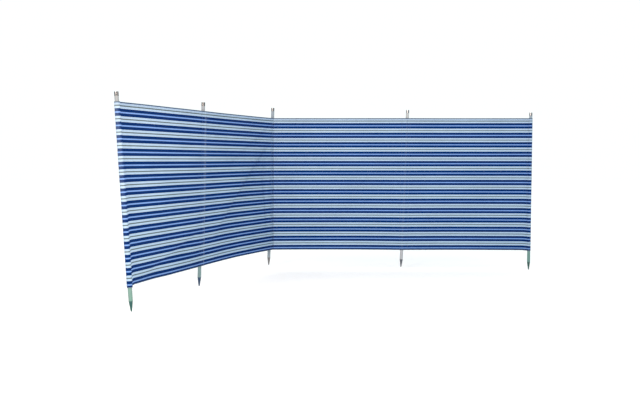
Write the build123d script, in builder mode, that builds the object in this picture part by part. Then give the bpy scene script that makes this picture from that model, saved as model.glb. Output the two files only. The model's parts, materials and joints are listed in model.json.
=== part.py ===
from build123d import *
import os
from dataclasses import dataclass
from math import cos, radians, sin, tan

# A beach windbreak: one long strip of striped canvas with five sewn sleeves, each holding a
# round wooden post with a turned point to push into the ground and a steel ferrule on top.
# It stands folded at its corner post, with a two-bay wing on each side of it.
#
# Frame: the origin is on the blunt foot of the corner post, +Z is up, and +X runs along the
# right wing. The left wing comes forward, towards -Y, so -Y of the right wing is the sheltered side.
# Lengths are in millimetres and angles in degrees.

# Posts
post_length = 1420
post_radius = 14
point_length = 68
foot_radius = 4.5
spigot_radius = 13.2  # the post's top is turned down by the thickness of its ferrule

# Ferrules, which keep the posts from splitting under a mallet
ferrule_length = 28
ferrule_wall = 0.9
ferrule_fit = 0.05
ferrule_lip = 3.2

# Canvas
canvas_height = 1200
canvas_thickness = 2
hem_width = 26
hem_thickness = 3.6
hem_gap = 0.3
shares = (0, 0.25, 0.5, 0.75, 1)  # where along a bay its sections stand

# Sleeves
sleeve_inner_radius = 14.4
sleeve_outer_radius = 16
seam_gap = 0.8  # between a sleeve and the edge of a bay that turns round it

# Layout
sleeve_level = 128.5  # the lower edges of the sleeves, above the foot of the corner post
inner_bay = 1210
end_bay = 1135
corner_fold = 67  # how far the left wing turns from the line of the right wing
left_fold = 5  # how far its end bay turns on from there

# Worked out from the driving dimensions
mid_level = sleeve_level + canvas_height / 2
canvas_top = sleeve_level + canvas_height
up = Vector(0, 0, 1)


@dataclass
class Stand:
    """Where one post stands: the plan point of its axis at mid-canvas, how far it leans towards +X,
    how far its foot reaches below its sleeve, and how far the bottom hem is drawn up beside it."""

    name: str
    plan: Vector
    lean: float
    reach: float
    lift: float

    def at(self, level):
        """The point of the post's axis at a height above the frame's origin."""
        return self.plan + Vector(tan(radians(self.lean)) * (level - mid_level), 0, level)

    @property
    def along(self):
        """The direction of the post's axis, from foot to top."""
        return Vector(sin(radians(self.lean)), 0, cos(radians(self.lean)))

    @property
    def foot(self):
        return self.at(sleeve_level - self.reach)

    @property
    def profile_plane(self):
        """The half-section's plane, with its origin on the foot: x is the radius and y runs up the axis."""
        side = Vector(self.along.Z, 0, -self.along.X)
        return Plane(origin=self.foot, x_dir=side, z_dir=side.cross(self.along))

    @property
    def axis(self):
        return Axis(origin=self.foot, direction=self.along)


def step(length, heading):
    """The plan vector of a bay that runs in a compass-like heading, counted from +X towards +Y."""
    return Vector(length * cos(radians(heading)), length * sin(radians(heading)), 0)


corner_lean = 1.7
left_heading = 180 + corner_fold
corner_plan = Vector(tan(radians(corner_lean)) * mid_level, 0, 0)
left_inner_plan = corner_plan + step(inner_bay, left_heading)
left_end_plan = left_inner_plan + step(end_bay, left_heading + left_fold)
right_inner_plan = corner_plan + step(inner_bay, 0)
right_end_plan = right_inner_plan + step(end_bay, 0)

left_end = Stand("left_end", left_end_plan, lean=-3.3, reach=156, lift=12)
left_inner = Stand("left_inner", left_inner_plan, lean=1.7, reach=153.5, lift=2)
corner = Stand("corner", corner_plan, lean=corner_lean, reach=sleeve_level, lift=9)
right_inner = Stand("right_inner", right_inner_plan, lean=2.2, reach=146, lift=8)
right_end = Stand("right_end", right_end_plan, lean=0.2, reach=171, lift=4)
stands = (left_end, left_inner, corner, right_inner, right_end)


@dataclass
class Bay:
    """The canvas between two stands: how far it bows outwards at its middle, and how much more its
    bottom hem is drawn up there than beside the posts."""

    name: str
    start: Stand
    end: Stand
    belly: float
    rise: float

    @property
    def run(self):
        """The plan vector from one post to the next."""
        return self.end.plan - self.start.plan

    def between(self, level, place):
        """The point at a height on the straight line from post to post, at a share of the bay."""
        return self.start.at(level) * (1 - place) + self.end.at(level) * place

    def drawn_up(self, place):
        """How far the bottom hem stands above the sleeves' lower edges."""
        beside = self.start.lift * (1 - place) + self.end.lift * place
        return beside + 4 * place * (1 - place) * self.rise


bays = (
    Bay("left_end", left_inner, left_end, belly=-6, rise=1),
    Bay("left_inner", corner, left_inner, belly=18, rise=4),
    Bay("right_inner", right_inner, corner, belly=12, rise=2),
    Bay("right_end", right_end, right_inner, belly=12, rise=1),
)

os.makedirs("parts", exist_ok=True)


def save(builder, label):
    """Labels a finished piece and writes it as a STEP file of the same name."""
    builder.part.label = label
    export_step(builder.part, f"parts/{label}.step")


def make_post(stand):
    """A turned post: blunt foot, long conical point, straight shaft, and a reduced top for its ferrule."""
    spigot_start = post_length - ferrule_length
    with BuildPart() as post:
        with BuildSketch(stand.profile_plane):
            with BuildLine():
                Polyline(
                    (0, 0),
                    (foot_radius, 0),
                    (post_radius, point_length),
                    (post_radius, spigot_start),
                    (spigot_radius, spigot_start),
                    (spigot_radius, post_length),
                    (0, post_length),
                    close=True,
                )
            make_face()
        revolve(axis=stand.axis)
    save(post, f"{stand.name}_post")


def make_ferrule(stand):
    """A thin steel collar on the post's top, with a lip turned in over the edge of the end grain."""
    inner = spigot_radius + ferrule_fit
    outer = inner + ferrule_wall
    low = post_length - ferrule_length + ferrule_fit
    lip = post_length + ferrule_fit
    with BuildPart() as ferrule:
        with BuildSketch(stand.profile_plane):
            with BuildLine():
                Polyline(
                    (inner, low),
                    (outer, low),
                    (outer, lip + ferrule_wall),
                    (outer - ferrule_lip, lip + ferrule_wall),
                    (outer - ferrule_lip, lip),
                    (inner, lip),
                    close=True,
                )
            make_face()
        revolve(axis=stand.axis)
    save(ferrule, f"{stand.name}_ferrule")


def make_sleeve(stand):
    """The canvas tube that holds the post, open at both ends and as tall as the canvas."""
    low = stand.at(sleeve_level)
    high = stand.at(canvas_top)
    with BuildPart() as sleeve:
        with BuildSketch(Plane(origin=low, z_dir=stand.along)):
            Circle(sleeve_outer_radius)
            Circle(sleeve_inner_radius, mode=Mode.SUBTRACT)
        extrude(amount=(high - low).length)
    save(sleeve, f"{stand.name}_sleeve")


def band(bay, low, high, drawn, thickness):
    """A strip of a bay's canvas between two sleeves: a loft through upright sections that bow outwards,
    each leaning as the posts do there. drawn says how far its low and high edges are drawn up with the
    bottom hem: 1 is all the way and 0 is not at all."""
    outward = bay.run.cross(up).normalized()
    standoff = (sleeve_outer_radius + seam_gap) / bay.run.length
    with BuildPart() as strip:
        for share in shares:
            place = standoff + share * (1 - 2 * standoff)
            foot = bay.between(low + drawn[0] * bay.drawn_up(place), place)
            head = bay.between(high + drawn[1] * bay.drawn_up(place), place)
            across = (head - foot).cross(bay.run).normalized()
            middle = (foot + head) * 0.5 + outward * (4 * place * (1 - place) * bay.belly)
            with BuildSketch(Plane(origin=middle, x_dir=across, z_dir=across.cross(head - foot))):
                Rectangle(thickness, (head - foot).length)
        loft()
    return strip


def make_bay(bay):
    """One bay: the single canvas between two sleeves, and the turned and sewn hems at its top and bottom."""
    turned = hem_width + hem_gap
    canvas = band(bay, sleeve_level + turned, canvas_top - turned, (1, 0), canvas_thickness)
    top_hem = band(bay, canvas_top - hem_width, canvas_top, (0, 0), hem_thickness)
    bottom_hem = band(bay, sleeve_level, sleeve_level + hem_width, (1, 1), hem_thickness)
    save(canvas, f"{bay.name}_bay")
    save(top_hem, f"{bay.name}_top_hem")
    save(bottom_hem, f"{bay.name}_bottom_hem")


for stand in stands:
    make_post(stand)
    make_ferrule(stand)
    make_sleeve(stand)

for bay in bays:
    make_bay(bay)
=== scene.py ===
"""The looks of a beach windbreak: striped canvas in four bays, sewn round five pointed wooden posts.

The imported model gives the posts' feet, their lean and the hems' levels. Everything here is in metres,
in the model's own frame: +Z up, +X along the right wing, and -Y on the sheltered side of that wing.
"""

import json
import logging
import math
from dataclasses import dataclass, field
from enum import Enum
from typing import Iterable, Sequence, Union

import bpy
import numpy as np
from mathutils import Euler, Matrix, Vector


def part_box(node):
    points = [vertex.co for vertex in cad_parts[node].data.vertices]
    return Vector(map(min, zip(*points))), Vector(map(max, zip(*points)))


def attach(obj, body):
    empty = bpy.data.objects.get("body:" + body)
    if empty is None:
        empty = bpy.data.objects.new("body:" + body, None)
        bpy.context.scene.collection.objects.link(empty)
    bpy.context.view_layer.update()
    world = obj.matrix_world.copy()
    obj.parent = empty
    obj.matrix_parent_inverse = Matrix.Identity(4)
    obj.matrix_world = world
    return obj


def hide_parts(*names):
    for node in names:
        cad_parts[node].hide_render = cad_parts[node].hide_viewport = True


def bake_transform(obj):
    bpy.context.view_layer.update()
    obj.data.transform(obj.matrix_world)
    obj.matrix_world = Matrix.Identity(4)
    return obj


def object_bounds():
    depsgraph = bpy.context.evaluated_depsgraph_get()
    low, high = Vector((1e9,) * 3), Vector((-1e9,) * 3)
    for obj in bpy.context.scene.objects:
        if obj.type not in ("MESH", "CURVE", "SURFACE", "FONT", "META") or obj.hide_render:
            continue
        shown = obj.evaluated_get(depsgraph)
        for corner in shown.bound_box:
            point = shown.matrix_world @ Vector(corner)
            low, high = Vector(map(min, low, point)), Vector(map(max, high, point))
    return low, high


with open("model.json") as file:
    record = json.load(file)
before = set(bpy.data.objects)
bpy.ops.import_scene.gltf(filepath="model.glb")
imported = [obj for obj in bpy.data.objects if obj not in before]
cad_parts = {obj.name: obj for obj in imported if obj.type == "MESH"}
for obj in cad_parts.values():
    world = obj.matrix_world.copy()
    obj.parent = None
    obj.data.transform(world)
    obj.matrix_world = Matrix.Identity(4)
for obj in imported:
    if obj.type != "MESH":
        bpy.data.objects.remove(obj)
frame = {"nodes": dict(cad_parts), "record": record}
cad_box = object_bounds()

log = logging.getLogger("windbreak")

UP = np.array([0.0, 0.0, 1.0])
RUB_AND_HIGHLIGHT = "rubbed"  # the attribute that says how far each point is painted paler: rub marks, and a painted highlight down the sleeves' tubes
CLOTH_MAP = "cloth"  # the UV map that holds a piece's place on the flat canvas, in metres
CLOTH_EDGE = math.radians(60)  # the cloth's edges are sharp where they turn by more
TURNED_EDGE = math.radians(30)  # and so are the edges of the turned timber and the steel
TUBE_STEP = math.radians(6)  # from column to column of the cloth that lies round a post
PATH_POINTS = 200  # along a hem's row of stitches
SEAM_POINTS = 240  # down a seam's row of stitches
FLOOR_DROP = 0.0005  # from the lowest foot to the floor

Array = np.ndarray
Numbers = Union[float, Array]
Place = tuple[float, float, float]
RGB = tuple[float, float, float]
Scale = Union[float, tuple[float, float, float]]  # the same all ways, or along each axis
Piece = bpy.types.Object
Finish = bpy.types.Material
Socket = bpy.types.NodeSocket
Source = Union[Socket, float, Sequence[float]]  # an output to link, or a plain number, colour or vector


def smooth(low: float, high: float, value: Array) -> Array:
    """Eases from 0 at low to 1 at high.

    Args:
        low: where the step starts.
        high: where it ends.
        value: the values to ease.

    Returns:
        The eased values, from 0 to 1.
    """
    share = np.clip((np.asarray(value, float) - low) / (high - low), 0, 1)
    return share * share * (3 - 2 * share)


def unit(vector: Array) -> Array:
    """The vectors in the last axis, each made one long."""
    return vector / np.linalg.norm(vector, axis=-1, keepdims=True)


def toned(colour: RGB, share: float) -> RGB:
    """The colour with each channel brought to a share of itself."""
    return tuple(share * channel for channel in colour)


# ---------------------------------------------------------------- finishes


class Recipe:
    """A material's node tree, written step by step."""

    def __init__(self, name: str) -> None:
        """Starts an empty material with a Principled shader.

        Args:
            name: the material's name.
        """
        self.material = bpy.data.materials.new(name)
        self.material.use_nodes = True
        self.tree = self.material.node_tree
        self.shader = self.tree.nodes["Principled BSDF"]

    def node(self, kind: str, **settings: object) -> bpy.types.Node:
        """Adds a node.

        Args:
            kind: the node's type, without the ShaderNode in front.
            settings: the node's own properties.

        Returns:
            The new node.
        """
        made = self.tree.nodes.new("ShaderNode" + kind)
        for key, value in settings.items():
            setattr(made, key, value)
        return made

    def join(self, source: Source, socket: Socket) -> None:
        """Links an output to a socket, or sets the socket's value.

        Args:
            source: the output, or the value. A colour is given as red, green and blue.
            socket: the socket that takes it.
        """
        if isinstance(source, Socket):
            self.tree.links.new(source, socket)
        else:
            socket.default_value = (*source, 1.0) if socket.type == "RGBA" else source

    def object_place(self) -> Socket:
        """The coordinates of the piece's own frame, in metres."""
        return self.node("TexCoord").outputs["Object"]

    def axes(self, place: Source) -> Sequence[Socket]:
        """The X, Y and Z of coordinates.

        Args:
            place: the coordinates.

        Returns:
            The three outputs.
        """
        made = self.node("SeparateXYZ")
        self.join(place, made.inputs[0])
        return made.outputs

    def maths(self, operation: str, first: Source, second: Source = 0.0) -> Socket:
        """Works out a Math node's operation.

        Args:
            operation: the operation's name.
            first: the first value.
            second: the second value, where the operation takes one.

        Returns:
            The result.
        """
        made = self.node("Math", operation=operation)
        self.join(first, made.inputs[0])
        self.join(second, made.inputs[1])
        return made.outputs[0]

    def mix(self, share: Source, first: Source, second: Source, blend: str = "MIX") -> Socket:
        """Mixes two colours.

        Args:
            share: how much of the second, from 0 to 1.
            first: the first colour.
            second: the second colour.
            blend: the blend mode's name.

        Returns:
            The mixed colour.
        """
        made = self.node("Mix", data_type="RGBA", blend_type=blend)
        self.join(share, made.inputs["Factor"])
        self.join(first, made.inputs["A"])
        self.join(second, made.inputs["B"])
        return made.outputs["Result"]

    def noise(self, place: Source, scale: Scale, detail: float = 2.0) -> Socket:
        """Makes smooth random variation.

        Args:
            place: the coordinates.
            scale: how fine it is, in all directions or along each axis.
            detail: how many finer layers it has.

        Returns:
            The values, nearly all from 0.25 to 0.75.
        """
        made = self.node("TexNoise")
        if isinstance(scale, tuple):
            stretched = self.node("Mapping")
            self.join(place, stretched.inputs["Vector"])
            stretched.inputs["Scale"].default_value = scale
            place, scale = stretched.outputs["Vector"], 1.0
        self.join(place, made.inputs["Vector"])
        made.inputs["Scale"].default_value = scale
        made.inputs["Detail"].default_value = detail
        return made.outputs["Fac"]

    def between(self, value: Source, low: float, high: float, to_low: float, to_high: float) -> Socket:
        """Maps a value from one range to another, clamped.

        Args:
            value: the value.
            low: the start of its range.
            high: the end of its range.
            to_low: what the start becomes.
            to_high: what the end becomes.

        Returns:
            The mapped value.
        """
        made = self.node("MapRange")
        self.join(value, made.inputs["Value"])
        for name, number in zip(("From Min", "From Max", "To Min", "To Max"), (low, high, to_low, to_high)):
            made.inputs[name].default_value = number
        return made.outputs["Result"]

    def mottle(self, place: Source, scale: Scale, least: float, most: float, detail: float = 3.0) -> Socket:
        """Makes smooth random variation over a chosen range.

        Args:
            place: the coordinates.
            scale: how fine it is, in all directions or along each axis.
            least: the lowest value.
            most: the highest value.
            detail: how many finer layers it has.

        Returns:
            The values.
        """
        return self.between(self.noise(place, scale, detail), 0.3, 0.7, least, most)

    def bump(self, height: Source, strength: float, distance: float) -> None:
        """Raises the shader's surface.

        Args:
            height: how high the surface stands, as a share of distance.
            strength: how much of it shows.
            distance: the height of a whole step, in metres.
        """
        made = self.node("Bump")
        made.inputs["Strength"].default_value = strength
        made.inputs["Distance"].default_value = distance
        self.join(height, made.inputs["Height"])
        self.join(made.outputs["Normal"], self.shader.inputs["Normal"])

    def surface(self, colour: Source, roughness: Source, **sockets: Source) -> Finish:
        """Finishes the material.

        Args:
            colour: the base colour.
            roughness: the roughness.
            sockets: other sockets of the shader, with _ for each space in their names.

        Returns:
            The material.
        """
        self.join(colour, self.shader.inputs["Base Color"])
        self.join(roughness, self.shader.inputs["Roughness"])
        for name, value in sockets.items():
            self.join(value, self.shader.inputs[name.replace("_", " ")])
        return self.material


class Stripe(Enum):
    """The woven stripes, with their yarn's colour."""

    NAVY = (0.000, 0.018, 0.105)
    SKY = (0.160, 0.288, 0.620)
    WHITE = (0.338, 0.460, 0.626)
    GREY = (0.088, 0.118, 0.128)


@dataclass(frozen=True)
class StripedCanvas:
    """Cotton canvas with stripes woven across its whole length, faded a little and softly worn, with
    painted shade at its foot and on its hems and a painted highlight over its posts.

    The pattern repeats down the height. It is laid out by height on the flat cloth, so the stripes run
    on from bay to bay, through the sleeves and round the turned hems.
    """

    first_navy: float = 0.054  # the middle of the top navy stripe, below the top edge
    stripes: tuple[tuple[Stripe, float], ...] = (
        (Stripe.NAVY, 0.0200),
        (Stripe.WHITE, 0.0140),
        (Stripe.GREY, 0.0080),
        (Stripe.WHITE, 0.0140),
        (Stripe.NAVY, 0.0200),
        (Stripe.SKY, 0.0095),
    )  # upwards from the bottom of the upper navy stripe of a pair, with their heights
    ragged: float = 0.0003  # how far a stripe's edge wanders
    yarn: float = 0.0009  # from one yarn to the next
    slubs: Scale = (14, 900, 1)  # how fine the thick and thin yarns are, along and up the cloth
    weave_depth: float = 0.00025
    bottom_shade: RGB = (0.88, 0.93, 0.945)  # painted shade: the share of each colour left at the bottom, fading out towards the top
    faded: RGB = (1.25, 1.22, 1.18)  # how much paler the patches are that sun and salt have bleached
    faded_share: float = 0.35
    hem_shade: float = 0.91  # painted shade: the share of the colour left on the hems, standing in for the light that doubled cloth keeps from coming through
    hem: float = 0.026
    hem_ease: float = 0.003  # how softly the painted hem shade ends
    worn: float = 0.005  # how far from the folded edges they are painted paler, partly as wear and partly as painted light where the folds catch it
    worn_and_lit_share: float = 0.75
    worn_and_lit_wander: float = 0.002  # how far that pale line wanders
    worn_and_lit_colour: RGB = (0.20, 0.27, 0.30)
    rub_and_highlight_share: float = 0.12  # how much of the stripes is lost where the cloth is painted paler over a post, partly rub marks and partly a painted highlight
    rub_and_highlight_colour: RGB = (0.34, 0.42, 0.50)
    roughness: float = 0.86
    sheen: float = 0.02
    sheen_tint: RGB = (0.30, 0.50, 1.0)
    gloss: float = 0.05

    def stripe_colour(self, recipe: Recipe, level: Socket, start: float) -> Socket:
        """Lays the stripes out by height.

        Args:
            recipe: the material's recipe.
            level: the height up the flat canvas.
            start: the height where one repeat of the pattern starts.

        Returns:
            The stripes' colour.
        """
        repeat = sum(width for _, width in self.stripes)
        count = recipe.maths("DIVIDE", recipe.maths("SUBTRACT", level, start), repeat)
        share = recipe.maths("FRACT", count)
        ramp = recipe.node("ValToRGB")
        ramp.color_ramp.interpolation = "CONSTANT"
        stops = ramp.color_ramp.elements
        reached = 0.0
        for index, (stripe, width) in enumerate(self.stripes):
            stop = stops[index] if index < 2 else stops.new(reached)
            stop.position = reached
            stop.color = (*stripe.value, 1.0)
            reached += width / repeat
        recipe.join(share, ramp.inputs["Fac"])
        return ramp.outputs["Color"]

    def weather(self, recipe: Recipe, place: Socket, colour: Socket) -> Socket:
        """Gives the cloth its uneven yarns and its faded patches.

        Args:
            recipe: the material's recipe.
            place: the place on the flat canvas.
            colour: the clean colour.

        Returns:
            The weathered colour.
        """
        slub = recipe.between(recipe.noise(place, self.slubs, 3.0), 0.25, 0.75, 0.86, 1.10)
        tone = recipe.maths("MULTIPLY", slub, recipe.mottle(place, 2.6, 0.95, 1.04))
        shade = recipe.node("CombineColor")
        for socket in shade.inputs:
            recipe.join(tone, socket)
        colour = recipe.mix(1.0, colour, shade.outputs["Color"], "MULTIPLY")
        patches = recipe.between(recipe.noise(place, 9.0, 6.0), 0.55, 0.8, 0.0, self.faded_share)
        return recipe.mix(patches, colour, self.faded, "MULTIPLY")

    def wear(self, recipe: Recipe, place: Socket, level: Socket, height: float, colour: Socket) -> Socket:
        """Paints shade towards the foot and on the hems, and pales the cloth over the posts and along its
        folded edges, partly as wear and partly as painted light.

        Args:
            recipe: the material's recipe.
            place: the place on the flat canvas.
            level: the height up the flat canvas.
            height: the canvas's height, from edge to edge.
            colour: the weathered colour.

        Returns:
            The worn colour.
        """
        # painted shade: the colours are darkened towards the bottom of the canvas
        colour = recipe.mix(recipe.between(level, 0.0, height, 1.0, 0.0), colour, self.bottom_shade, "MULTIPLY")
        # painted highlight, mixed with rub marks: the cloth is painted paler where this attribute says
        over_post = recipe.node("Attribute", attribute_name=RUB_AND_HIGHLIGHT).outputs["Fac"]
        over_post = recipe.maths("MULTIPLY", over_post, self.rub_and_highlight_share)
        patchy = recipe.mottle(place, (90, 25, 1), 0.6, 1.3)
        colour = recipe.mix(recipe.maths("MULTIPLY", over_post, patchy), colour, self.rub_and_highlight_colour)
        wander = recipe.mottle(place, (60, 400, 1), -self.worn_and_lit_wander, self.worn_and_lit_wander)
        off_middle = recipe.maths("ABSOLUTE", recipe.maths("SUBTRACT", level, height / 2))
        from_fold = recipe.maths("SUBTRACT", recipe.maths("ADD", off_middle, wander), height / 2)
        from_fold = recipe.maths("ABSOLUTE", from_fold)
        # painted shade: the hems' bands are darkened where the cloth lies doubled
        hem_shade_band = recipe.between(from_fold, self.hem, self.hem + self.hem_ease, 1.0, 0.0)
        colour = recipe.mix(hem_shade_band, colour, (self.hem_shade,) * 3, "MULTIPLY")
        # partly wear, partly painted light: the folded edges are painted paler
        edge = recipe.between(from_fold, 0.001, self.worn, self.worn_and_lit_share, 0.0)
        return recipe.mix(edge, colour, self.worn_and_lit_colour)

    def material(self, height: float) -> Finish:
        """Makes the finish.

        Args:
            height: the canvas's height, from edge to edge.

        Returns:
            The material.
        """
        recipe = Recipe("striped_canvas")
        place = recipe.node("UVMap", uv_map=CLOTH_MAP).outputs["UV"]
        along, level, _ = recipe.axes(place)
        ragged = recipe.mottle(place, (300, 40, 1), -self.ragged, self.ragged, 2.0)
        uneven = recipe.maths("ADD", level, ragged)
        start = height - self.first_navy - self.stripes[0][1] / 2
        colour = self.weather(recipe, place, self.stripe_colour(recipe, uneven, start))
        colour = self.wear(recipe, place, level, height, colour)

        turn = math.pi / self.yarn
        warp, weft = (recipe.maths("SINE", recipe.maths("MULTIPLY", way, turn)) for way in (along, level))
        weave = recipe.maths("MULTIPLY", warp, weft)
        lumps = recipe.noise(place, (40, 700, 1), 2.0)
        recipe.bump(recipe.maths("ADD", weave, lumps), 0.35, self.weave_depth)
        return recipe.surface(
            colour, self.roughness, Sheen_Weight=self.sheen, Sheen_Roughness=0.5,
            Sheen_Tint=self.sheen_tint, Specular_IOR_Level=self.gloss,
        )


@dataclass(frozen=True)
class Timber:
    """Turned softwood, weathered pale, with a tinted lower shaft and a darker dipped point, whose dark is
    partly the dip and partly painted shade on its downward faces.
    """

    shaft: RGB
    lower: RGB
    # partly the dip's colour, partly painted shade on the point's downward faces
    point: RGB
    ring: float = 0.0042  # from one growth ring to the next
    pith: float = 0.031  # from the post's middle to the middle of the tree's rings
    wander: float = 0.035  # how far the rings wander
    fibres: Scale = (900, 900, 16)  # how fine the fibres are, across and along the post
    late_wood: float = 0.6  # how much the darker wood of each ring shows
    fibre_dark: float = 0.45  # how much the darker fibres show
    tint: tuple[float, float] = (0.02, 0.55)  # the heights where the lower tint starts and ends
    dip_wander: float = 0.006  # how far the edge of the dipped point wanders
    dip_edge: tuple[float, float] = (0.001, 0.007)  # where it ends, above the point
    relief: float = 0.0004
    roughness: float = 0.62
    gloss: float = 0.35

    def material(self, post: "Line", point_length: float) -> Finish:
        """Makes the finish for one post, with its grain along the post's axis.

        Args:
            post: the post's line, from its foot.
            point_length: how high the dark point reaches.

        Returns:
            The material.
        """
        recipe = Recipe(f"{post.name}_timber")
        shift = recipe.node("VectorMath", operation="SUBTRACT")
        recipe.join(recipe.object_place(), shift.inputs[0])
        shift.inputs[1].default_value = tuple(post.foot)
        upright = recipe.node("VectorRotate", rotation_type="Y_AXIS")
        recipe.join(shift.outputs[0], upright.inputs["Vector"])
        upright.inputs["Angle"].default_value = -math.atan2(post.along[0], post.along[2])
        own = upright.outputs["Vector"]
        right, deep, up = recipe.axes(own)

        drift = recipe.maths("MULTIPLY", recipe.noise(own, (14, 14, 2.2), 3.0), self.wander)
        right = recipe.maths("ADD", right, drift)
        deep = recipe.maths("ADD", deep, self.pith)
        squares = (recipe.maths("MULTIPLY", way, way) for way in (right, deep))
        radius = recipe.maths("SQRT", recipe.maths("ADD", *squares))
        rings = recipe.maths("SINE", recipe.maths("MULTIPLY", radius, 2 * math.pi / self.ring))
        late = recipe.between(rings, 0.1, 1.0, 0.0, self.late_wood)
        fibre = recipe.noise(own, self.fibres, 4.0)
        dark = recipe.between(fibre, 0.35, 0.72, 0.0, self.fibre_dark)

        colour = recipe.mix(recipe.between(up, *self.tint, 0.0, 1.0), self.lower, self.shaft)
        colour = recipe.mix(late, colour, toned(self.shaft, 0.72))
        colour = recipe.mix(dark, colour, toned(self.shaft, 0.55))
        streaks = recipe.between(fibre, 0.3, 0.8, 0.0, 0.5)
        point = recipe.mix(streaks, self.point, toned(self.point, 1.5))
        uneven = recipe.maths("MULTIPLY", recipe.noise(own, 60.0, 3.0), self.dip_wander)
        edge = recipe.maths("ADD", up, uneven)
        dipped = recipe.between(edge, *(point_length + reach for reach in self.dip_edge), 1.0, 0.0)
        recipe.bump(recipe.maths("ADD", fibre, recipe.maths("MULTIPLY", late, 0.4)), 0.4, self.relief)
        # partly a dip, partly painted shade: the point is painted darker than the shaft
        colour = recipe.mix(dipped, colour, point)
        return recipe.surface(colour, self.roughness, Specular_IOR_Level=self.gloss)


@dataclass(frozen=True)
class GalvanisedSteel:
    """Zinc with faint spangles. Its tone is set post by post, which paints on each ferrule the light and
    shade that falls there.
    """

    # painted light and shade: how light this post's zinc is painted
    tone: float
    zinc: RGB = (0.94, 1.0, 1.10)
    between_spangles: RGB = (0.58, 0.61, 0.67)
    spangles: float = 160.0  # how fine they are
    spangle_share: float = 0.35
    scuffs: Scale = (500, 500, 120)  # how fine the scuffs are
    roughness: tuple[float, float] = (0.18, 0.36)  # least and most
    relief: float = 0.0003

    def material(self, name: str) -> Finish:
        """Makes the finish.

        Args:
            name: the post whose ferrule it is for.

        Returns:
            The material.
        """
        recipe = Recipe(f"{name}_steel")
        place = recipe.object_place()
        spangle = recipe.node("TexVoronoi")
        recipe.join(place, spangle.inputs["Vector"])
        spangle.inputs["Scale"].default_value = self.spangles
        between = recipe.between(spangle.outputs["Distance"], 0.0, 0.8, 0.0, self.spangle_share)
        colour = recipe.mix(between, toned(self.zinc, self.tone), toned(self.between_spangles, self.tone))
        scuffs = recipe.noise(place, self.scuffs, 4.0)
        recipe.bump(scuffs, 0.15, self.relief)
        return recipe.surface(colour, recipe.between(scuffs, 0.3, 0.7, *self.roughness), Metallic=1.0)


@dataclass(frozen=True)
class SewingThread:
    """Twisted polyester thread, dull blue."""

    colour: RGB = (0.20, 0.30, 0.46)
    twist: float = 1800.0  # how fine its twist is
    roughness: float = 0.55

    def material(self) -> Finish:
        """Makes the finish.

        Returns:
            The material.
        """
        recipe = Recipe("sewing_thread")
        twist = recipe.mottle(recipe.object_place(), self.twist, 0.0, 0.5, 2.0)
        colour = recipe.mix(twist, self.colour, toned(self.colour, 0.7))
        return recipe.surface(colour, self.roughness, Sheen_Weight=0.2)


# ---------------------------------------------------------------- cloth as meshes


@dataclass
class Grid:
    """A rectangular patch of cloth: its points in rows, and each point's place on the flat canvas."""

    points: Array
    flat: Array
    rubbed: Array | None = None  # how far each point is painted paler, by rub marks and a painted highlight, where any is

    def faces(self, first: int) -> Array:
        """The patch's quads.

        Args:
            first: the number of the patch's first vertex.

        Returns:
            Vertex numbers, one row for each quad.
        """
        rows, columns = self.points.shape[:2]
        corner = first + np.arange(rows - 1)[:, None] * columns + np.arange(columns - 1)[None, :]
        return np.stack([corner, corner + 1, corner + columns + 1, corner + columns], -1).reshape(-1, 4)


def mesh_object(name: str, points: Array, faces: Array, flat: Array | None = None) -> Piece:
    """Makes a mesh object in the scene.

    Args:
        name: the piece's name.
        points: vertices, one row each.
        faces: vertex numbers, one row for each face.
        flat: each vertex's place on the flat canvas, where it has one.

    Returns:
        The object.
    """
    mesh = bpy.data.meshes.new(name)
    mesh.from_pydata(points.tolist(), [], faces.tolist())
    mesh.validate()
    if flat is not None:
        layer = mesh.uv_layers.new(name=CLOTH_MAP)
        corners = np.empty(len(mesh.loops), np.int32)
        mesh.loops.foreach_get("vertex_index", corners)
        layer.uv.foreach_set("vector", flat[corners].astype(np.float32).ravel())
    mesh.polygons.foreach_set("use_smooth", [True] * len(mesh.polygons))
    made = bpy.data.objects.new(name, mesh)
    bpy.context.scene.collection.objects.link(made)
    return made


def sewn_cloth(name: str, patches: Iterable[Grid], thickness: float) -> Piece:
    """Makes one piece of cloth of real thickness from its patches.

    Args:
        name: the piece's name.
        patches: the patches, whose points lie in the middle of the cloth.
        thickness: how thick the cloth is.

    Returns:
        The object, closed all round.
    """
    points, flat, rubbed, faces, count = [], [], [], [], 0
    for patch in patches:
        faces.append(patch.faces(count))
        points.append(patch.points.reshape(-1, 3))
        flat.append(patch.flat.reshape(-1, 2))
        rubbed.append(np.zeros(len(points[-1])) if patch.rubbed is None else patch.rubbed.ravel())
        count += len(points[-1])
    made = mesh_object(name, np.concatenate(points), np.concatenate(faces), np.concatenate(flat))
    wear = made.data.attributes.new(RUB_AND_HIGHLIGHT, "FLOAT", "POINT")
    wear.data.foreach_set("value", np.concatenate(rubbed).astype(np.float32))
    shell = made.modifiers.new("thickness", "SOLIDIFY")
    shell.thickness = thickness
    shell.offset = 0.0
    shell.use_even_offset = False
    evaluated = made.evaluated_get(bpy.context.evaluated_depsgraph_get())
    solid = bpy.data.meshes.new_from_object(evaluated)
    made.modifiers.clear()
    made.data = solid
    solid.name = name
    solid.set_sharp_from_angle(angle=CLOTH_EDGE)
    return made


def part_way(where: Array, length: Array, values: Array) -> Array:
    """The values, three to a row, at distances along a path whose points lie at the given lengths."""
    return np.stack([np.interp(where, length, values[:, k]) for k in range(3)], 1)


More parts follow.
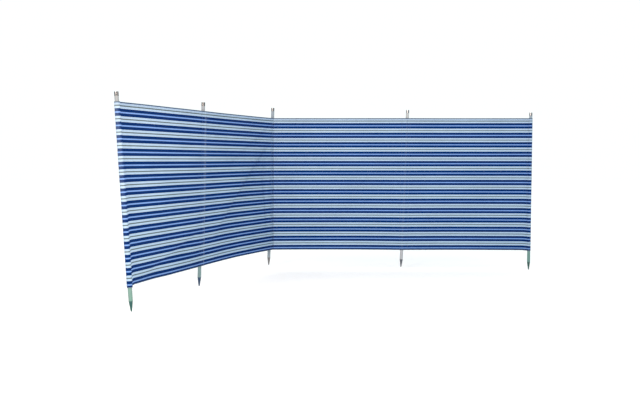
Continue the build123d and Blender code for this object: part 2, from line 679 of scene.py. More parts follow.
@dataclass
class Thread:
    """Rows of stitches, each a small closed spindle that stands a little proud of the cloth."""

    pitch: float = 0.0046
    share: float = 0.78  # of the pitch that shows
    radius: float = 0.00032
    rise: float = 0.00022
    starts: list[Array] = field(default_factory=list)
    ends: list[Array] = field(default_factory=list)
    outward: list[Array] = field(default_factory=list)

    def run(self, path: Array, facing: Array) -> None:
        """Sews a row along a path.

        Args:
            path: points on the cloth's surface.
            facing: the way the surface faces at each of them.
        """
        length = np.concatenate([[0], np.cumsum(np.linalg.norm(np.diff(path, axis=0), axis=1))])
        count = int(length[-1] / self.pitch)
        middles = (np.arange(count) + 0.5) * length[-1] / count
        half = self.pitch * self.share / 2
        self.starts.append(part_way(middles - half, length, path))
        self.ends.append(part_way(middles + half, length, path))
        self.outward.append(unit(part_way(middles, length, facing)))

    def sew(self, name: str) -> Piece:
        """Makes the stitches of all the rows as one object.

        Args:
            name: the piece's name.

        Returns:
            The object.
        """
        start, end, out = (np.concatenate(x) for x in (self.starts, self.ends, self.outward))
        side = unit(np.cross(end - start, out)) * self.radius
        middle = (start + end) / 2 + out * self.rise
        top = middle + out * self.radius
        low = middle - out * (self.radius + self.rise)
        points = np.stack([start, end, middle + side, top, middle - side, low], 1).reshape(-1, 3)
        ring = (2, 3, 4, 5)
        spindle = [(0, a, b) for a, b in zip(ring, ring[1:] + ring[:1])]
        spindle += [(1, b, a) for a, b in zip(ring, ring[1:] + ring[:1])]
        faces = (np.arange(len(start))[:, None, None] * 6 + np.array(spindle)).reshape(-1, 3)
        return mesh_object(name, points, faces)


# ---------------------------------------------------------------- the windbreak's own parts


@dataclass
class Line:
    """A post's centre line, from the middle of its foot, and where the canvas passes in front of it."""

    name: str
    foot: Array
    along: Array
    lift: float = 0.0  # how far the canvas's lower edge is drawn up beside it
    levels: tuple[float, float] = (0.0, 1.0)  # the canvas's lower and upper edges
    front: Array = field(default_factory=lambda: np.zeros((2, 3)))  # from the line to the canvas there

    @classmethod
    def of(cls, name: str, lift: float) -> "Line":
        """The line of a post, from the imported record's mount on its foot."""
        mount = next(m for m in frame["record"]["mounts"] if m["name"] == f"{name}_foot")
        return cls(name, np.array(mount["pos_m"], float), -np.array(mount["axis"], float), lift)

    @property
    def passed(self) -> bool:
        """Whether the canvas runs on past this post."""
        return bool(self.front.any())

    def at(self, height: Array) -> Array:
        """The points of the line at heights above the frame's origin."""
        reach = (np.asarray(height, float) - self.foot[2]) / self.along[2]
        return self.foot + reach[..., None] * self.along

    def face(self, height: Array) -> Array:
        """The points at those heights where the canvas passes the post."""
        share = (np.asarray(height, float) - self.levels[0]) / (self.levels[1] - self.levels[0])
        return self.at(height) + self.front[0] * (1 - share)[..., None] + self.front[1] * share[..., None]


@dataclass
class Canvas:
    """What all the canvas shares: its levels, its thickness and the measures of its hems and sleeves."""

    low: float  # the level of the sleeves' lower edges
    high: float  # the level of the top hem
    thickness: float = 0.0007
    hem: float = 0.026
    hem_gap: float = 0.0016  # from the middle of the front layer to the middle of the turned layer
    hem_stitch: float = 0.021  # from a hem's folded edge to its row of stitches
    hem_step: tuple[float, float] = (0.012, -0.001)  # where a sleeve's back layer comes down off the hem
    tube: float = 0.01495  # the radius of a sleeve's middle, where it goes round its post
    end_seam: float = 0.021  # from an end post's middle to the seam where its sleeve's layers meet
    pocket: float = 0.032  # from an inner post's middle to each of its sleeve's seams, at mid-height
    square: float = 0.5  # how far the seams keep upright where the post leans: 0 follows the post
    sewn: float = 0.007  # the width of the sewn layers
    between_layers: float = 0.00025  # the room left between them
    stitch_inset: float = 0.0015  # from each side of the sewn layers to its row of stitches
    grain: float = 0.010  # the cloth's grid

    @property
    def height(self) -> float:
        """The height of the flat canvas, from edge to edge."""
        return self.high - self.low

    @property
    def middle(self) -> float:
        """The level halfway up the canvas."""
        return (self.low + self.high) / 2


@dataclass
class Stretch:
    """Where points of a bay's cloth lie on it, and the bay's size."""

    along: Array  # distance from the first post
    level: Array  # distance up from the bottom hem
    width: float  # from post to post
    height: float  # from hem to hem


@dataclass
class Fold:
    """A long soft fold, which dies away at both ends.

    Its ends are shares of the bay's width, from the first post, and of its height.
    """

    start: tuple[float, float]
    stop: tuple[float, float]
    height: float  # how far it stands out, or in where negative
    left: float  # how wide its left or upper flank is, seen from the sheltered side
    right: float  # how wide its right or lower flank is

    def at(self, cloth: Stretch) -> Array:
        """How far the fold lifts the cloth.

        Args:
            cloth: the stretch of cloth.

        Returns:
            The distance towards the sheltered side.
        """
        size = np.array([cloth.width, cloth.height])
        begin = np.array(self.start) * size
        run = np.array(self.stop) * size - begin
        length = float(np.hypot(*run))
        run = run / length
        across = np.array([-run[1], run[0]])
        across = across if across.sum() > 0 else -across
        x, y = cloth.along - begin[0], cloth.level - begin[1]
        passed = (x * run[0] + y * run[1]) / length
        off = x * across[0] + y * across[1]
        shape = np.exp(-((off / np.where(off > 0, self.left, self.right)) ** 2))
        return self.height * shape * smooth(-0.15, 0.3, passed) * smooth(1.15, 0.7, passed)


@dataclass
class Drape:
    """How a bay of canvas lies: its soft folds and puckers, in metres out of its plane."""

    waves: float = 0.004  # broad swells
    drawn: float = 0.004  # folds that fan out from the top and bottom corners
    pucker: float = 0.0009  # small gathers beside the seams and hems
    phase: float = 0.0
    folds: tuple[Fold, ...] = ()
    swells: tuple[tuple[float, float, float, float], ...] = (
        (1.0, 2.1 * math.pi, 1.7, 1.0),
        (0.6, 4.3 * math.pi, -2.6, 1.9),
        (0.5, 3.3, 2.9 * math.pi, 0.7),
        (0.3, 7.7 * math.pi, 4.1 * math.pi, 2.3),
    )  # each one's strength, how far it turns across the bay and up it, and its share of the phase
    fan_reach: float = 0.34  # how far a corner's folds reach
    seam_clear: tuple[float, float] = (0.03, 0.12)  # where broad folds start from a post, and are whole
    seam_gather: float = 0.047  # from one gather to the next beside a seam
    hem_gather: float = 0.056  # from one gather to the next beside a hem

    def swell(self, cloth: Stretch) -> Array:
        """The broad swells.

        Args:
            cloth: the stretch of cloth.

        Returns:
            How far they lift it.
        """
        x, y = cloth.along / cloth.width, cloth.level / cloth.height
        lifted = np.zeros_like(x)
        for strength, across, up, turn in self.swells:
            lifted = lifted + strength * np.sin(across * x + up * y + turn * self.phase)
        return lifted * self.waves * 0.5

    def fans(self, cloth: Stretch) -> Array:
        """The folds that fan out from the bay's four corners.

        Args:
            cloth: the stretch of cloth.

        Returns:
            How far they lift it.
        """
        corners = ((0, cloth.height), (cloth.width, cloth.height), (0, 0), (cloth.width, 0))
        lifted = np.zeros_like(cloth.along)
        for index, (cx, cy) in enumerate(corners):
            dx, dy = np.abs(cloth.along - cx), np.abs(cloth.level - cy)
            reach = np.hypot(dx, dy)
            angle = np.arctan2(dy, dx + 1e-9)
            size = self.drawn * (1.0 if cy else 0.6)
            fan = np.sin(11 * angle + 2.3 * index + self.phase)
            fan = fan + 0.5 * np.sin(19 * angle + 1.1 * index + 2 * self.phase)
            lifted += size * 0.6 * fan * (reach / 0.25) * np.exp(-((reach / self.fan_reach) ** 1.5))
        return lifted

    def gathers(self, cloth: Stretch, edge: Array) -> Array:
        """The small gathers beside the seams and the hems.

        Args:
            cloth: the stretch of cloth.
            edge: distance from the nearer post.

        Returns:
            How far they lift it.
        """
        along, level = cloth.along, cloth.level
        by_seam = self.pucker * np.exp(-((edge - 0.03) / 0.035))
        by_hem = self.pucker * np.exp(-np.minimum(level, cloth.height - level) / 0.03)
        seam_turn = 2 * np.pi * level / self.seam_gather + 1.3 * np.sin(level * 9 + self.phase)
        hem_turn = 2 * np.pi * along / self.hem_gather + 1.5 * np.sin(along * 7 + self.phase)
        return by_seam * np.sin(seam_turn) + by_hem * np.sin(hem_turn)

    def at(self, cloth: Stretch) -> Array:
        """How far the cloth stands towards the sheltered side.

        Args:
            cloth: the stretch of cloth.

        Returns:
            The distance, nought at the posts.
        """
        folds = self.fans(cloth)
        for fold in self.folds:
            folds += fold.at(cloth)
        edge = np.minimum(cloth.along, cloth.width - cloth.along)
        broad = (self.swell(cloth) + folds) * smooth(*self.seam_clear, edge)
        return broad + self.gathers(cloth, edge) * smooth(0.0, 0.025, edge)


@dataclass
class Bay:
    """One bay of canvas between two posts, with its top and bottom hems turned to the back and sewn."""

    name: str
    first: Line
    last: Line
    body: str
    cloth: Canvas
    drape: Drape
    belly: float  # how far it bows away from the sheltered side at its middle
    rise: float  # how much more than at its posts the bottom hem is drawn up in the middle
    ease: float = 0.065  # how near an end post the hem comes back down to the sleeve's lower edge
    inset: float = 0.002  # from a sleeve's seam to the edge of the bay's cloth
    stitch_start: float = 0.002  # from a sleeve's sewn edge to the first stitch of a hem
    turned_rows: int = 5  # rows of the grid across a hem's turned layer
    rolled_rows: int = 7  # rows round a hem's folded edge

    def __post_init__(self) -> None:
        """Works out the bay's run and the side that it faces."""
        run = self.last.face(self.cloth.middle) - self.first.face(self.cloth.middle)
        self.width = float(np.linalg.norm(run))
        self.run = run / self.width
        self.facing = unit(np.cross(UP, self.run))

    def surface(self, along: Numbers, level: Numbers, offset: Numbers = 0.0) -> Array:
        """Points of the cloth.

        Args:
            along: distance from the first post's line, at mid-height.
            level: distance up the flat cloth from the bottom hem.
            offset: distance towards the sheltered side from the middle of the front layer.

        Returns:
            The points.
        """
        along, level, offset = np.broadcast_arrays(*(np.asarray(x, float) for x in (along, level, offset)))
        share = along / self.width
        bow = 4 * share * (1 - share)
        drawn = self.first.lift * (1 - share) + self.last.lift * share + self.rise * bow
        for post, away in ((self.first, along), (self.last, self.width - along)):
            if not post.passed:
                drawn = drawn * smooth(0, self.ease, away)
        height = self.cloth.low + level + drawn * (1 - level / self.cloth.height) ** 2
        chord = self.first.face(height) * (1 - share)[..., None] + self.last.face(height) * share[..., None]
        draped = self.drape.at(Stretch(along, level, self.width, self.cloth.height))
        out = offset - self.belly * bow + draped
        return chord + out[..., None] * self.facing

    def seam(self, level: Numbers, at_first: bool) -> Array:
        """How far from one of its posts the bay is sewn into the sleeve.

        Args:
            level: levels above the bottom hem.
            at_first: whether the post is the first one.

        Returns:
            The distances from the post.
        """
        cloth = self.cloth
        post = self.first if at_first else self.last
        level = np.asarray(level, float)
        if not post.passed:
            return np.full_like(level, cloth.end_seam)
        into = self.run if at_first else -self.run
        drift = (post.face(cloth.low + level) - post.face(cloth.middle)) @ into
        return cloth.pocket - cloth.square * drift

    def profile(self) -> tuple[Array, Array, Array]:
        """The cloth's course from the turned bottom hem, up the front and over into the turned top hem.

        Returns:
            Each point's level, its offset from the front layer, and its place up the flat cloth.
        """
        cloth = self.cloth
        radius = cloth.hem_gap / 2
        top = cloth.height - radius
        turn = np.linspace(0, np.pi, self.rolled_rows)[1:-1]
        back = np.linspace(cloth.hem, radius, self.turned_rows)
        front = np.linspace(radius, top, round(cloth.height / cloth.grain) + 1)
        rounded = radius * np.sin(turn)
        level = np.concatenate([back, radius - rounded, front, top + rounded, cloth.height - back[::-1]])
        bend = radius * (1 - np.cos(turn))
        behind = np.full(self.turned_rows, -2 * radius)
        offset = np.concatenate([behind, bend - 2 * radius, np.zeros(len(front)), -bend, behind])
        arc = radius * turn
        rolled = np.pi * radius
        laid = back - radius
        flat = np.concatenate(
            [radius - rolled - laid, radius - rolled + arc, front, top + arc, top + rolled + laid[::-1]]
        )
        return level, offset, flat

    def build(self) -> Piece:
        """Makes the bay's cloth, from inside one sleeve's sewn edge to inside the next.

        Returns:
            The cloth.
        """
        cloth = self.cloth
        level, offset, flat = self.profile()
        begin = self.seam(level, True) + self.inset
        end = self.width - self.seam(level, False) - self.inset
        share = np.linspace(0, 1, round(self.width / cloth.grain) + 1)
        along = begin[:, None] * (1 - share) + end[:, None] * share
        place = np.stack(np.broadcast_arrays(along, flat[:, None]), -1)
        points = self.surface(along, level[:, None], offset[:, None])
        self.piece = sewn_cloth(f"{self.name}_canvas", [Grid(points, place)], cloth.thickness)
        return self.piece

    def stitch(self) -> Piece:
        """Sews a row along each hem, which shows on the front and on the turned layer.

        Returns:
            The stitches.
        """
        cloth = self.cloth
        thread = Thread()
        for level in (cloth.hem_stitch, cloth.height - cloth.hem_stitch):
            seams = (float(self.seam(level, at_first)) for at_first in (True, False))
            begin, end = (seam + cloth.sewn + self.stitch_start for seam in seams)
            along = np.linspace(begin, self.width - end, PATH_POINTS)
            for side, offset in ((1, cloth.thickness / 2), (-1, -cloth.hem_gap - cloth.thickness / 2)):
                path = self.surface(along, level, offset)
                thread.run(path, np.broadcast_to(side * self.facing, path.shape))
        self.stitches = thread.sew(f"{self.name}_stitches")
        return self.stitches

    def dress(self, canvas: Finish, thread: Finish) -> None:
        """Finishes the pieces, and hangs them on the bay's body.

        Args:
            canvas: the cloth's finish.
            thread: the stitches' finish.
        """
        self.piece.data.materials.append(canvas)
        self.stitches.data.materials.append(thread)
        for piece in (self.piece, self.stitches):
            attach(piece, self.body)
        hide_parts(f"{self.name}_bay", f"{self.name}_top_hem", f"{self.name}_bottom_hem")
        seams = (float(self.seam(self.cloth.height / 2, at_first)) for at_first in (True, False))
        sewn_in = sum(seam + self.inset for seam in seams)


@dataclass
class Pleat:
    """An upright ridge, or a hollow, pressed into the front layer where it passes a post.

    Distances are at the bottom and at the top, towards the bay on the sleeve's own body.
    """

    places: tuple[float, float]  # from the post
    heights: tuple[float, float]  # how far it stands out, or in where negative
    near: float  # how wide its flank towards that bay is
    other: float  # how wide the other flank is
    worn: float = 0.0  # how far it is rubbed pale

    def shape(self, reach: Array, share: Array) -> Array:
        """How much of it there is, from 0 to 1, at a distance from the post and a share of the height."""
        off = reach - np.interp(share, (0, 1), self.places)
        return np.exp(-((off / np.where(off > 0, self.near, self.other)) ** 2))

    def at(self, reach: Array, share: Array) -> Array:
        """How far it lifts the cloth there."""
        return np.interp(share, (0, 1), self.heights) * self.shape(reach, share)


@dataclass
class Sleeve:
    """The canvas round one post.

    At an inner post the front layer runs straight on from bay to bay, and the back layer parts from it
    at a seam, goes round the back of the post and meets it again at another. At an end post one layer
    goes round the far side of the post and back to its own seam.
    """

    post: Line
    cloth: Canvas
    body: str
    bays: tuple["BayEnd", ...]
    child_body: str = ""  # the body that turns at this post, where one does
    phase: float = 0.0
    loose: float = 0.0  # how far it stands off its post
    pleat: Pleat | None = None
    pucker: float = 0.00030  # small gathers where it lies round the post
    pucker_length: float = 0.052  # from one to the next
    foot_pucker: float = 0.00035  # finer ones at its lower edge
    foot_pucker_length: float = 0.021
    foot: float = 0.1  # how high those reach
    slack: float = 0.045  # how deep its flanks' ripples are, as a share of their width
    taut: float = 0.006  # the width of a flank that has none
    ripple: float = 0.19  # from one broad ripple to the next
    small_ripple: float = 0.071
    crease_rub: float = 0.4  # how far the front layer's crease is rubbed pale
    crease_width: float = 0.009  # how wide that rubbed line is
    pleat_clear: float = 0.008  # how near a seam a pleat dies away
    edge_columns: int = 6  # columns of the grid across a sewn edge
    flank_columns: int = 5  # across a flank
    front_columns: int = 29  # across the front layer, between a seam and the post
    stitch_start: float = 0.004  # from the canvas's edges to the first and last stitch
    bend_reach: float = 1.3  # how far from the post it bends, as a share of the tube's radius
    girth: float = field(default=0.0, init=False)  # the flat width of its layers

    def __post_init__(self) -> None:
        """Sets out the levels of the cloth's rows, and two directions square to the post."""
        cloth = self.cloth
        self.radius = cloth.tube + self.loose
        self.level = np.linspace(0, cloth.height, round(cloth.height / cloth.grain) + 1)
        lift = self.post.lift * (1 - self.level / cloth.height) ** 2 if self.post.passed else 0.0
        self.centre = self.post.at(cloth.low + self.level + lift)
        self.across = unit(np.cross(np.array([0.0, 1.0, 0.0]), self.post.along))
        self.ahead = np.cross(self.post.along, self.across)

    def leaving_angle(self, column: Array, turn: float) -> Array:
        """The angles round the post where cloth from a column comes to lie on it.

        Args:
            column: the column's points, one on each row.
            turn: 1 where the cloth goes on anticlockwise round the post, and -1 where it goes clockwise.

        Returns:
            An angle for each row.
        """
        away = column - self.centre
        x, y = away @ self.across, away @ self.ahead
        return np.arctan2(y, x) + turn * np.arccos(np.clip(self.radius / np.hypot(x, y), 0, 1))

    def tube_column(self, angle: Array) -> Array:
        """A column of the cloth that lies round the post, with its small puckers.

        Args:
            angle: the angle round the post, on each row.

        Returns:
            The column's points.
        """
        level = self.level
        wave = 2 * np.pi * level / self.pucker_length + 3 * angle + self.phase + 2 * np.sin(level * 11)
        fine = 2 * np.pi * level / self.foot_pucker_length - 2 * angle
        pucker = self.pucker * np.sin(wave)
        pucker += self.foot_pucker * np.sin(fine) * smooth(self.foot, 0.0, level)
        out = np.cos(angle)[:, None] * self.across + np.sin(angle)[:, None] * self.ahead
        return self.centre + (self.radius + pucker)[:, None] * out

    def sewn_columns(self, end: "BayEnd", side: int) -> list[Array]:
        """The columns of a layer's sewn edge on a bay, from its cut edge to the seam."""
        extras = np.linspace(self.cloth.sewn, 0, self.edge_columns)
        return [end.layer(end.seam(self.level) + extra, self.level, side) for extra in extras]

    def flank(self, start: Array, stop: Array) -> list[Array]:
        """Columns that cross from one column to another, with the slack of a loose sleeve in them.

        Args:
            start: the first column.
            stop: the last column.

        Returns:
            The columns between.
        """
        across = stop - start
        length = np.linalg.norm(across, axis=1)
        out = unit(np.cross(across, self.post.along))
        level = self.level
        ripple = np.sin(2 * np.pi * level / self.ripple + 1.7 * np.sin(level * 6 + self.phase) + self.phase)
        ripple += 0.5 * np.sin(2 * np.pi * level / self.small_ripple + self.phase * 2)
        depth = self.slack * np.clip(length - self.taut, 0, None) * ripple
        shares = np.linspace(0, 1, self.flank_columns + 2)[1:-1]
        return [start + across * t + out * (depth * math.sin(math.pi * t) ** 2)[:, None] for t in shares]

    def round_the_post(self, begin: "BayEnd", end: "BayEnd", side: int) -> Grid:
        """The layer that goes round the post, from one sewn edge to the other.

        Args:
            begin: the bay where it starts.
            end: the bay where it ends. An end post's sleeve comes back to the bay that it left.
            side: 1 where it starts on the sheltered side, and -1 where it starts on the other.

        Returns:
            The layer's patch.
        """
        other = -side if begin is end else side
        outgoing = self.sewn_columns(begin, side)
        returning = self.sewn_columns(end, other)[::-1]
        leave = self.leaving_angle(outgoing[-1], side * begin.turn)
        arrive = self.leaving_angle(returning[0], other * end.turn)
        sweep = (arrive - leave) % (2 * math.pi)
        if side * begin.turn < 0:
            sweep = sweep - 2 * math.pi
        steps = max(6, round(float(np.abs(sweep).max()) / TUBE_STEP))
        shares = np.linspace(0, 1, steps + 1)
        tube = [self.tube_column(leave + sweep * share) for share in shares]
        leading = [*outgoing, *self.flank(outgoing[-1], tube[0])]
        trailing = [*self.flank(tube[-1], returning[0]), *returning]
        # painted highlight: the middle of the tube is painted paler, more towards the top
        rubbed = [np.zeros(len(leading)), np.sin(np.pi * shares) ** 4, np.zeros(len(trailing))]
        upper = smooth(0.1, 0.9, self.level / self.cloth.height)[:, None]
        return self.patch([*leading, *tube, *trailing], np.concatenate(rubbed) * upper)

    def straight_on(self, begin: "BayEnd", end: "BayEnd") -> Grid:
        """The front layer of an inner post's sleeve, with a crease where the two bays turn.

        Args:
            begin: the bay on the sleeve's own body.
            end: the bay that folds at the post.

        Returns:
            The layer's patch.
        """
        shares = np.linspace(1, 0, self.front_columns + 2)[1:-1]
        sides = ((begin, 1), (end, -1))
        near, far = ([self.pressed(bay_end, sign, share) for share in shares] for bay_end, sign in sides)
        crease = (self.pressed(begin, 1, 0.0) + self.pressed(end, -1, 0.0)) / 2
        leading, trailing = self.sewn_columns(begin, 1), self.sewn_columns(end, 1)[::-1]
        near_seam, far_seam = begin.seam(self.level), -end.seam(self.level)
        reaches = np.stack([
            *[near_seam] * len(leading),
            *[near_seam * share for share in shares],
            np.zeros_like(self.level),
            *[far_seam * share for share in shares[::-1]],
            *[far_seam] * len(trailing),
        ], 1)
        rubbed = self.crease_rub * np.exp(-((reaches / self.crease_width) ** 2))
        if self.pleat:
            share = np.broadcast_to(self.level[:, None] / self.cloth.height, reaches.shape)
            rubbed = rubbed + self.pleat.worn * self.pleat.shape(reaches, share)
        return self.patch([*leading, *near, crease, *far[::-1], *trailing], rubbed)

    def pressed(self, end: "BayEnd", sign: int, share: float) -> Array:
        """A column of the front layer between the post and a seam, with the sleeve's pleat in it.

        Args:
            end: the bay on that side.
            sign: 1 for the bay on the sleeve's own body, and -1 for the other.
            share: how far from the post it is, as a share of the way to the seam.

        Returns:
            The column's points.
        """
        seam = end.seam(self.level)
        proud = np.zeros_like(self.level)
        if self.pleat:
            proud = self.pleat.at(sign * seam * share, self.level / self.cloth.height)
            proud = proud * smooth(0, self.pleat_clear, seam * (1 - share))
        return end.layer(seam * share, self.level, 1, proud)

    def patch(self, columns: list[Array], rubbed: Array) -> Grid:
        """The patch that columns of points make.

        Args:
            columns: the columns, in order round the sleeve.
            rubbed: how far each point is painted paler, by rub marks and a painted highlight.

        Returns:
            The patch.
        """
        points = np.stack(columns, 1)
        middle = points[len(self.level) // 2]
        around = np.concatenate([[0], np.cumsum(np.linalg.norm(np.diff(middle, axis=0), axis=1))])
        self.girth += float(around[-1])
        flat = np.stack(np.broadcast_arrays(around[None, :], self.level[:, None]), -1)
        return Grid(points, flat, rubbed)

    def build(self) -> Piece:
        """Makes the sleeve's cloth.

        Returns:
            The cloth.
        """
        begin, end = self.bays[0], self.bays[-1]
        if begin is end:
            patches = [self.round_the_post(begin, end, 1)]
        else:
            patches = [self.straight_on(begin, end), self.round_the_post(begin, end, -1)]
        self.piece = sewn_cloth(f"{self.post.name}_canvas_sleeve", patches, self.cloth.thickness)
        return self.piece

    def stitch(self) -> Piece:
        """Sews two rows down each sewn edge, front and back.

        Returns:
            The stitches.
        """
        cloth = self.cloth
        thread = Thread()
        level = np.linspace(self.stitch_start, cloth.height - self.stitch_start, SEAM_POINTS)
        for end in self.bays:
            for side in (1, -1):
                for inward in (cloth.stitch_inset, cloth.sewn - cloth.stitch_inset):
                    outside = side * cloth.thickness / 2 * end.bay.facing
                    path = end.layer(end.seam(level) + inward, level, side) + outside
                    thread.run(path, np.broadcast_to(side * end.bay.facing, path.shape))
        self.stitches = thread.sew(f"{self.post.name}_sleeve_stitches")
        return self.stitches

    def dress(self, canvas: Finish, thread: Finish) -> None:
        """Finishes the pieces, and hangs them on the post's body, or, where a bay folds at the post, only
        bakes their placement.

        Args:
            canvas: the cloth's finish.
            thread: the stitches' finish.
        """
        self.piece.data.materials.append(canvas)
        self.stitches.data.materials.append(thread)
        for piece in (self.piece, self.stitches):
            if self.child_body:
                self.bend(piece)
            else:
                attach(piece, self.body)
        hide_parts(f"{self.post.name}_sleeve")

    def bend(self, piece: Piece) -> None:
        """Bakes a piece's placement into its mesh. It works out the way across the fold and the post's
        middle but uses neither, and hangs the piece on no body.

        Args:
            piece: the cloth or its stitches.
        """
        own, turning = self.bays
        across = turning.direction - own.direction
        across = unit(across - (across @ self.post.along) * self.post.along)
        middle = self.post.at(self.cloth.middle)
        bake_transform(piece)


@dataclass
class BayEnd:
    """The end of a bay at one of its posts, as the post's sleeve sees it."""

    bay: Bay
    at_first: bool

    @property
    def direction(self) -> Array:
        """The way from the post into the bay."""
        return self.bay.run if self.at_first else -self.bay.run

    @property
    def turn(self) -> int:
        """1 where the sheltered side is anticlockwise of the direction, and -1 where it is clockwise."""
        return 1 if self.at_first else -1

    def seam(self, level: Array) -> Array:
        """The seam's distance from the post at levels above the bottom hem."""
        return self.bay.seam(level, self.at_first)

    def layer(self, reach: Array, level: Array, side: int, proud: Numbers = 0.0) -> Array:
        """A layer of the sleeve, close on the bay's cloth.

        Args:
            reach: distance from the post, at each level.
            level: levels above the bottom hem.
            side: 1 on the sheltered side, and -1 on the other.
            proud: how much further the layer stands off.

        Returns:
            The points.
        """
        cloth = self.bay.cloth
        along = reach if self.at_first else self.bay.width - reach
        gap = cloth.thickness + cloth.between_layers
        if side < 0:
            edge = np.minimum(level, cloth.height - level)
            off, on = (cloth.hem + step for step in cloth.hem_step)
            gap = gap + cloth.hem_gap * smooth(off, on, edge)
        return self.bay.surface(along, level, side * (gap + proud))


@dataclass
class Post:
    """A turned post with its steel ferrule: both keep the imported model's shape."""

    line: Line
    timber: Timber
    steel: GalvanisedSteel
    point_length: float = 0.068

    def dress(self) -> None:
        """Finishes the post's timber and its ferrule."""
        name = self.line.name
        finishes = {
            f"{name}_post": self.timber.material(self.line, self.point_length),
            f"{name}_ferrule": self.steel.material(name),
        }
        for node, finish in finishes.items():
            mesh = frame["nodes"][node].data
            mesh.materials.clear()
            mesh.materials.append(finish)
            mesh.polygons.foreach_set("use_smooth", [True] * len(mesh.polygons))
            mesh.set_sharp_from_angle(angle=TURNED_EDGE)


# ---------------------------------------------------------------- studio


@dataclass(frozen=True)
class Softbox:
    """A rectangular soft light."""

    name: str
    place: Place
    aim: Place
    size: tuple[float, float]
    power: float
    colour: RGB = (1.0, 0.79, 0.62)

    def hang(self) -> None:
        """Hangs it, facing the point that it lights."""
        lamp = bpy.data.lights.new(self.name, "AREA")
        lamp.shape = "RECTANGLE"
        lamp.size, lamp.size_y = self.size
        lamp.energy = self.power
        lamp.color = self.colour
        holder = bpy.data.objects.new(self.name, lamp)
        holder.visible_camera = False
        holder.location = self.place
        holder.rotation_euler = (Vector(self.aim) - holder.location).to_track_quat("-Z", "Y").to_euler()
        bpy.context.scene.collection.objects.link(holder)


@dataclass(frozen=True)
class Camera:
    """The camera, which takes in both wings from the sheltered side."""

    place: Place = (0.4557, -7.5854, 0.9567)
    down: float = 2.766  # how far it looks down, in degrees
    aside: float = -0.086  # how far it is turned from straight ahead, in degrees
    focal_length: float = 47.14  # in millimetres, as is the sensor's width
    sensor: float = 36.0
    clip_end: float = 200.0

    def stand(self) -> None:
        """Stands it in its place, as the scene's camera."""
        body = bpy.data.cameras.new("camera")
        body.sensor_width = self.sensor
        body.lens = self.focal_length
        body.clip_end = self.clip_end
        holder = bpy.data.objects.new("camera", body)
        holder.location = self.place
        holder.rotation_euler = Euler((math.radians(90 - self.down), 0.0, math.radians(self.aside)), "XYZ")
        bpy.context.scene.collection.objects.link(holder)
        bpy.context.scene.camera = holder


@dataclass
class Studio:
    """A pale floor, soft light and the camera."""

    floor_level: float
    floor_size: float = 60.0
    floor_tones: tuple[RGB, RGB] = ((0.90, 0.90, 0.90), (0.93, 0.93, 0.93))
    floor_glow: float = 0.17  # how much light of its own it has, so that it reads as evenly pale
    surround_colour: RGB = (1.0, 1.05, 1.05)
    lights: tuple[Softbox, ...] = (
        Softbox("right softbox", (0.9, -3.3, 1.2), (-0.6, -1.7, 0.7), (0.6, 0.8), 27.0),
        Softbox("left softbox", (-2.5, -8.0, 2.2), (-2.6, 0.0, 0.9), (1.2, 1.2), 355.0),
    )
    camera: Camera = Camera()

    def build(self) -> None:
        """Makes the floor, the light and the camera."""
        self.lay_floor()
        self.surround()
        for light in self.lights:
            light.hang()
        self.camera.stand()

    def lay_floor(self) -> None:
        """Lays a plain pale floor under the lowest foot."""
        half = self.floor_size / 2
        corners = np.array([(-half, -half), (half, -half), (half, half), (-half, half)])
        points = np.column_stack([corners, np.full(4, self.floor_level)])
        floor = mesh_object("floor", points, np.array([(0, 1, 2, 3)]))
        recipe = Recipe("floor")
        tone = recipe.mix(recipe.noise(recipe.object_place(), 0.8), *self.floor_tones)
        floor.data.materials.append(
            recipe.surface(tone, 0.8, Emission_Color=(1.0, 1.0, 1.0), Emission_Strength=self.floor_glow)
        )

    def surround(self) -> None:
        """Puts an even white surround behind everything."""
        world = bpy.data.worlds.new("surround")
        world.use_nodes = True
        world.node_tree.nodes["Background"].inputs["Color"].default_value = (*self.surround_colour, 1.0)
        bpy.context.scene.world = world
        bpy.context.scene.view_settings.view_transform = "Standard"


# ---------------------------------------------------------------- the whole


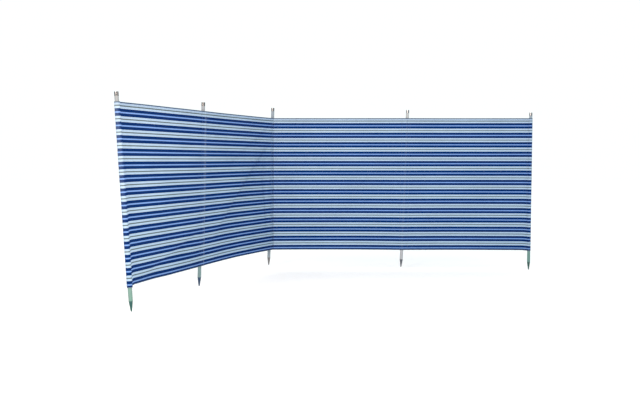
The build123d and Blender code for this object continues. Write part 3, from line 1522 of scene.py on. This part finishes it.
@dataclass
class Windbreak:
    """The whole windbreak: five posts, their sleeves, and the four bays between them."""

    standoff: float = 0.0143  # from an inner post's line to the middle of the bays' cloth
    crease_shift: float = 0.024  # how far along the right wing the foot of the corner's crease is moved
    lower_edge: float = 0.1285  # from the corner post's foot to the sleeves' lower edges

    def __post_init__(self) -> None:
        """Takes the posts' lines and the hems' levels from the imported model, and sets out the parts."""
        lifts = {
            "left_end": 0.013,
            "left_inner": 0.002,
            "corner": 0.0105,
            "right_inner": 0.008,
            "right_end": 0.004,
        }  # how far the canvas's lower edge is drawn up beside each post
        self.lines = {name: Line.of(name, lift) for name, lift in lifts.items()}
        self.cloth = Canvas(
            low=self.lines["corner"].foot[2] + self.lower_edge,
            high=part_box("right_inner_top_hem")[1].z,
        )
        self.pass_in_front()
        self.posts = self.make_posts()
        self.bays = self.make_bays()
        self.sleeves = self.make_sleeves()

    def pass_in_front(self) -> None:
        """Lets the canvas pass close in front of the three inner posts, and turn there.

        At the corner the crease keeps more upright than the post does, so it stands off at the bottom.
        """
        cloth, lines = self.cloth, list(self.lines.values())
        for line in lines:
            line.levels = (cloth.low, cloth.high)
        for before, line, after in zip(lines, lines[1:], lines[2:]):
            runs = [a.at(cloth.middle) - b.at(cloth.middle) for a, b in ((before, line), (line, after))]
            sides = [unit(np.cross(UP, run)) for run in runs]
            bisector = unit(sides[0] + sides[1])
            line.front = np.stack([bisector * self.standoff / float(bisector @ sides[0])] * 2)
        self.lines["corner"].front[0] += np.array([self.crease_shift, 0.0, 0.0])

    def make_posts(self) -> list[Post]:
        """The five posts.

        Returns:
            The posts, each with its own colours: weathered timber, with painted light and shade on the zinc
                and the points.
        """
        weathering_and_shade = {
            "left_end": (0.13, (0.26, 0.29, 0.32), (0.066, 0.246, 0.190), (0.010, 0.061, 0.061)),
            "left_inner": (0.11, (0.26, 0.29, 0.33), (0.100, 0.230, 0.230), (0.012, 0.036, 0.082)),
            "corner": (0.15, (0.23, 0.28, 0.34), (0.25, 0.30, 0.34), (0.11, 0.11, 0.12)),
            "right_inner": (0.25, (0.43, 0.46, 0.48), (0.33, 0.36, 0.42), (0.07, 0.08, 0.10)),
            "right_end": (0.22, (0.28, 0.35, 0.42), (0.008, 0.168, 0.100), (0.022, 0.066, 0.062)),
        }  # how light the zinc is painted, as painted light and shade on each ferrule, and the colours of the shaft, the lower shaft and the point, whose dark is partly painted shade
        return [
            Post(self.lines[name], Timber(*colours), GalvanisedSteel(tone))
            for name, (tone, *colours) in weathering_and_shade.items()
        ]

    def make_bays(self) -> dict[str, Bay]:
        """The four bays, each from the post on its right to the post on its left.

        Returns:
            The bays by name.
        """
        line, cloth = self.lines, self.cloth
        return {
            "left_end": Bay(
                "left_end", line["left_inner"], line["left_end"], "left_end_section", cloth,
                Drape(waves=0.004, drawn=0.004, phase=0.6, folds=(
                    Fold((0.05, 0.80), (0.85, 0.56), -0.0160, 0.040, 0.045),
                    Fold((0.20, 0.60), (0.95, 0.45), -0.0080, 0.030, 0.040),
                    Fold((0.00, 0.225), (0.85, 0.01), -0.0180, 0.026, 0.070),
                )),
                belly=-0.006, rise=0.001,
            ),
            "left_inner": Bay(
                "left_inner", line["corner"], line["left_inner"], "left_inner_section", cloth,
                Drape(waves=0.003, drawn=0.003, phase=2.1, folds=(
                    Fold((0.00, 0.835), (0.80, 0.175), -0.0180, 0.028, 0.200),
                    Fold((0.00, 0.94), (0.78, 0.575), -0.0090, 0.026, 0.100),
                    Fold((0.15, 0.60), (0.06, 0.03), -0.0060, 0.015, 0.050),
                )),
                belly=0.018, rise=0.004,
            ),
            "right_inner": Bay(
                "right_inner", line["right_inner"], line["corner"], "corner_section", cloth,
                Drape(waves=0.003, drawn=0.003, phase=3.7), belly=0.012, rise=0.002,
            ),
            "right_end": Bay(
                "right_end", line["right_end"], line["right_inner"], "right_end_section", cloth,
                Drape(waves=0.003, drawn=0.004, phase=5.2), belly=0.012, rise=0.001,
            ),
        }

    def make_sleeves(self) -> list[Sleeve]:
        """The five sleeves. Each lists the bay on its own body first, and then the bay that folds at it.

        Returns:
            The sleeves, from left to right.
        """
        line, cloth, bay = self.lines, self.cloth, self.bays
        return [
            Sleeve(
                line["left_end"], cloth, "left_end_section",
                (BayEnd(bay["left_end"], False),), phase=0.4, loose=0.003,
            ),
            Sleeve(
                line["left_inner"], cloth, "left_inner_section",
                (BayEnd(bay["left_inner"], False), BayEnd(bay["left_end"], True)),
                "left_end_section", phase=1.7,
                pleat=Pleat((0.033, 0.014), (0.003, 0.002), 0.009, 0.008, worn=1.3),
            ),
            Sleeve(
                line["corner"], cloth, "corner_section",
                (BayEnd(bay["right_inner"], False), BayEnd(bay["left_inner"], True)),
                "left_inner_section", phase=2.9,
                pleat=Pleat((0.002, 0.0), (-0.008, -0.002), 0.003, 0.003),
            ),
            Sleeve(
                line["right_inner"], cloth, "corner_section",
                (BayEnd(bay["right_inner"], True), BayEnd(bay["right_end"], False)),
                "right_end_section", phase=4.0,
                pleat=Pleat((-0.028, 0.002), (0.0, 0.0065), 0.013, 0.003),
            ),
            Sleeve(
                line["right_end"], cloth, "right_end_section",
                (BayEnd(bay["right_end"], True),), phase=5.1, loose=0.001,
            ),
        ]

    def build(self) -> None:
        """Builds and dresses every piece."""
        canvas = StripedCanvas().material(self.cloth.height)
        thread = SewingThread().material()
        for part in (*self.bays.values(), *self.sleeves):
            for piece in (part.build(), part.stitch()):
                log.info("%s: %d faces", piece.name, len(piece.data.polygons))
            part.dress(canvas, thread)
        for post in self.posts:
            post.dress()
            log.info("%s post and ferrule dressed", post.line.name)


def main() -> None:
    """Builds the windbreak and the studio round it."""
    logging.basicConfig(level=logging.INFO, format="%(name)s: %(message)s")
    windbreak = Windbreak()
    windbreak.build()
    Studio(floor_level=cad_box[0][2] - FLOOR_DROP).build()


if __name__ == "__main__":
    main()
